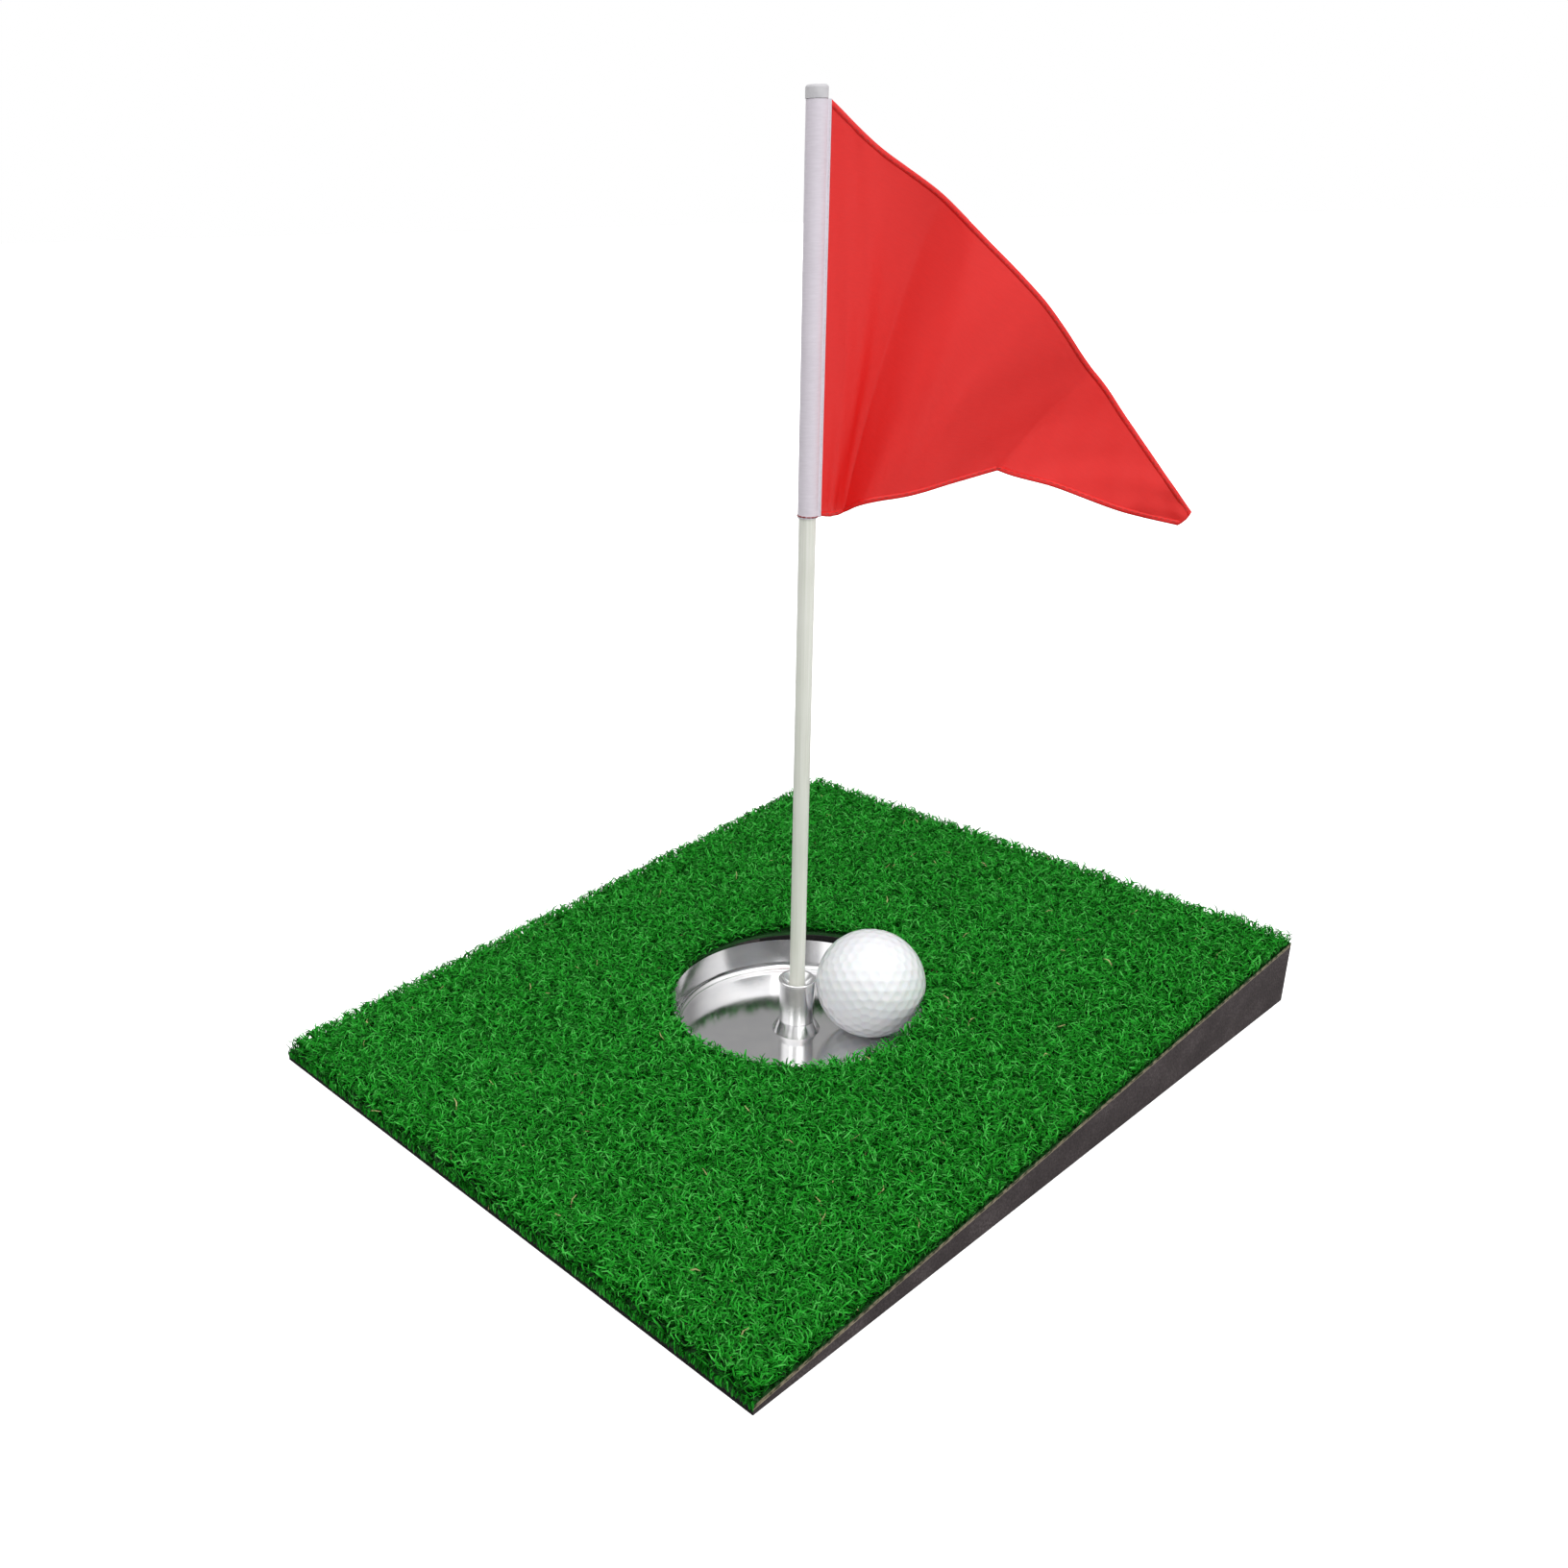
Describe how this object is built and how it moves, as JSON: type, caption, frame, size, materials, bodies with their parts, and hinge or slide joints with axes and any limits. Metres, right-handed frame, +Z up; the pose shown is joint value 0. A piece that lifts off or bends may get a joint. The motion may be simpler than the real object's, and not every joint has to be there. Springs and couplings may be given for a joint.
{
  "type": "putting target with flagstick",
  "caption": "Sloping turf ramp with a steel cup in its middle, a post in the cup that holds a slim rod with a swivelling pennant, and a golf ball in the cup.",
  "frame": {"origin": "on the floor, in the middle of the ramp's underside, on the common axis of the cup, the post and the rod", "axes": "+Z up along the rod, +Y up the slope from the ramp's low edge to its high edge, +X across the ramp"},
  "size_m": [0.25, 0.315, 0.3357],
  "materials": {
    "foam": "matt closed-cell foam, cut edges",
    "glue": "dried glue film",
    "backing": "woven backing with a latex coat",
    "pile": "short curled polypropylene pile",
    "steel": "polished stainless steel",
    "zinc": "bright zinc plate",
    "rod": "pultruded glass-fibre rod, cream, satin",
    "cap": "moulded white plastic, satin",
    "sleeve_cloth": "white woven polyester",
    "flag_cloth": "red woven polyester, thin and slightly shiny",
    "ball": "white dimpled cover, gloss coat"
  },
  "bodies": {
    "ramp": {"ramp_base": "foam", "glue_film": "glue", "turf_backing": "backing", "turf_pile": "pile"},
    "cup": {"hole_cup": "steel", "socket_post": "steel", "post_washer": "zinc", "post_screw": "zinc"},
    "rod": {"flag_rod": "rod", "rod_cap": "cap"},
    "flag": {"flag_sleeve": "sleeve_cloth", "flag_panel": "flag_cloth"},
    "ball": {"golf_ball": "ball"}
  },
  "joints": [
    {"name": "cup_lift", "type": "slide", "parent": "ramp", "child": "cup", "axis": [0, 0, 1], "range_m": [0, 0.04]},
    {"name": "rod_lift", "type": "slide", "parent": "cup", "child": "rod", "axis": [0, 0, 1], "range_m": [0, 0.05]},
    {"name": "flag_swivel", "type": "hinge", "parent": "rod", "child": "flag", "pos_m": [0, 0, 0.27], "axis": [0, 0, 1], "continuous": true},
    {"name": "ball_lift", "type": "slide", "parent": "cup", "child": "ball", "axis": [0, 0, 1], "range_m": [0, 0.06]}
  ]
}
